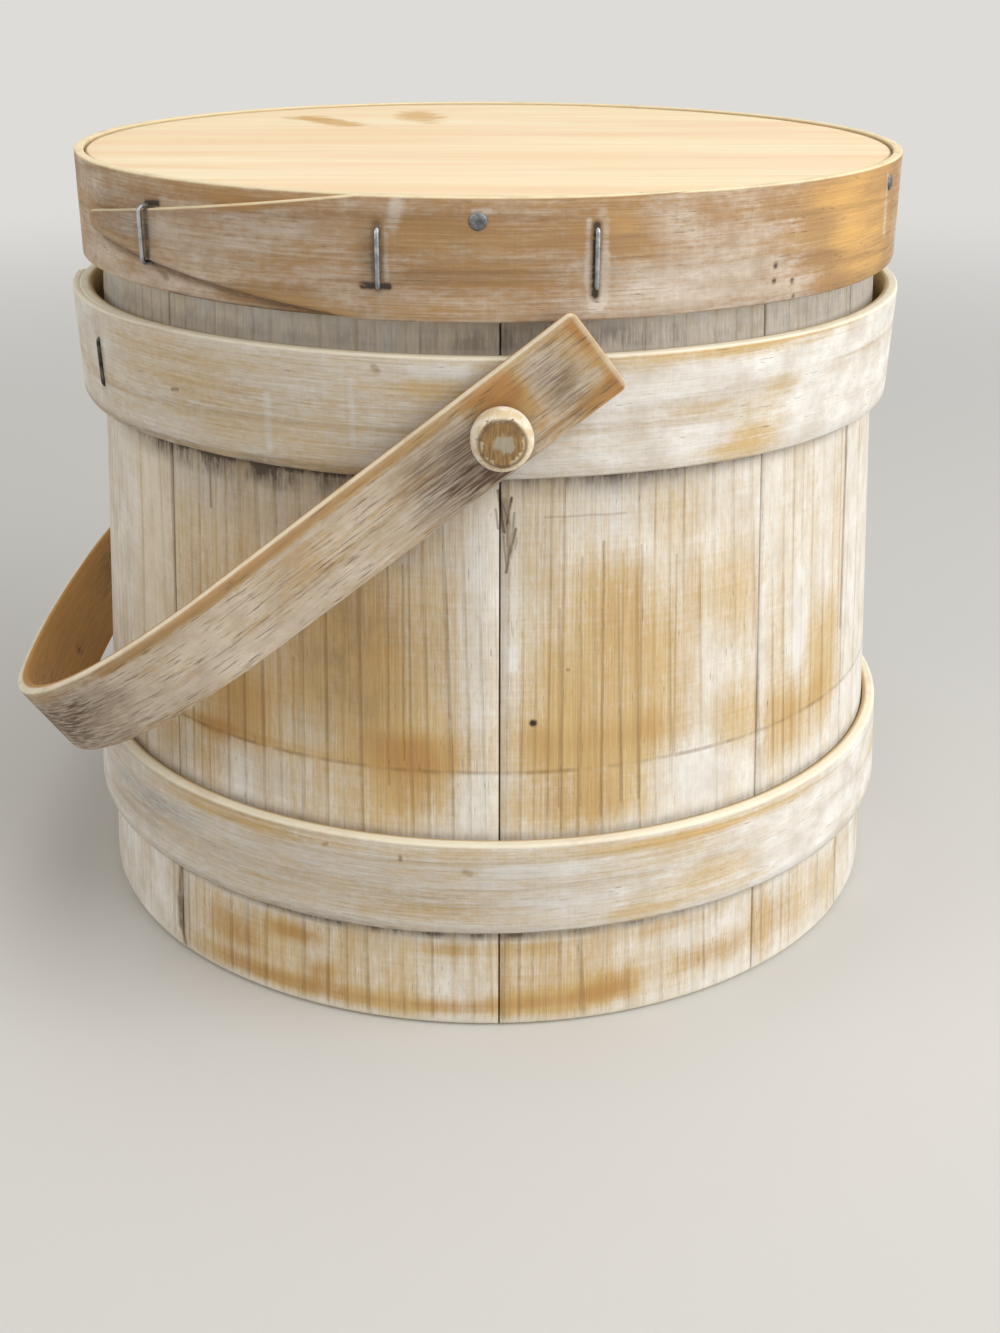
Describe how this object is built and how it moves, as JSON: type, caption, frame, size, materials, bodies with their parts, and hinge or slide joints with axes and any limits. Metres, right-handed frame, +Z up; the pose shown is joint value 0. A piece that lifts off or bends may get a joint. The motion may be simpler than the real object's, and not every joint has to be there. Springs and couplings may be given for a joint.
{
  "type": "firkin bucket",
  "caption": "Coopered wooden bucket with tapered staves, lapped bentwood hoops, a lift-off lid with a lapped rim, and a bentwood bail that swings on two knobbed pegs.",
  "frame": {"origin": "centre of the ring of stave ends that the bucket stands on", "axes": "+Z up along the tub's axis, -Y towards the front peg and the seam behind it, +X to the right seen from the front; the bail lies down towards -X"},
  "size_m": [0.2864, 0.2824, 0.236],
  "materials": {
    "stave_wood": "pine under worn whitewash, matte",
    "bottom_wood": "bare pine, matte",
    "hoop_wood": "bentwood under whitewash, matte",
    "rim_wood": "bentwood under thin worn whitewash, matte",
    "lid_wood": "pale pine, smooth matte",
    "bail_wood": "open-grained bentwood under thin whitewash, matte",
    "peg_wood": "turned hardwood, satin",
    "dark_wire": "dulled wire",
    "bright_wire": "galvanized wire",
    "nail_steel": "galvanized nail heads"
  },
  "bodies": {
    "bucket": {"stave_1": "stave_wood", "stave_2": "stave_wood", "stave_3": "stave_wood", "stave_4": "stave_wood", "stave_5": "stave_wood", "stave_6": "stave_wood", "stave_7": "stave_wood", "stave_8": "stave_wood", "stave_9": "stave_wood", "stave_10": "stave_wood", "bottom_board": "bottom_wood", "upper_hoop": "hoop_wood", "lower_hoop": "hoop_wood", "upper_hoop_staples": "dark_wire", "lower_hoop_staples": "dark_wire", "peg_front": "peg_wood", "peg_back": "peg_wood"},
    "bail": {"bail": "bail_wood"},
    "lid": {"lid_board": "lid_wood", "lid_rim": "rim_wood", "lid_staples": "bright_wire", "lid_nails": "nail_steel"}
  },
  "joints": [
    {"name": "bail_pivot", "type": "hinge", "parent": "bucket", "child": "bail", "pos_m": [0, 0, 0.1789], "axis": [0, 1, 0], "range_deg": [0, 254]},
    {"name": "lid_lift", "type": "slide", "parent": "bucket", "child": "lid", "axis": [0, 0, 1], "range_m": [0, 0.055]}
  ]
}
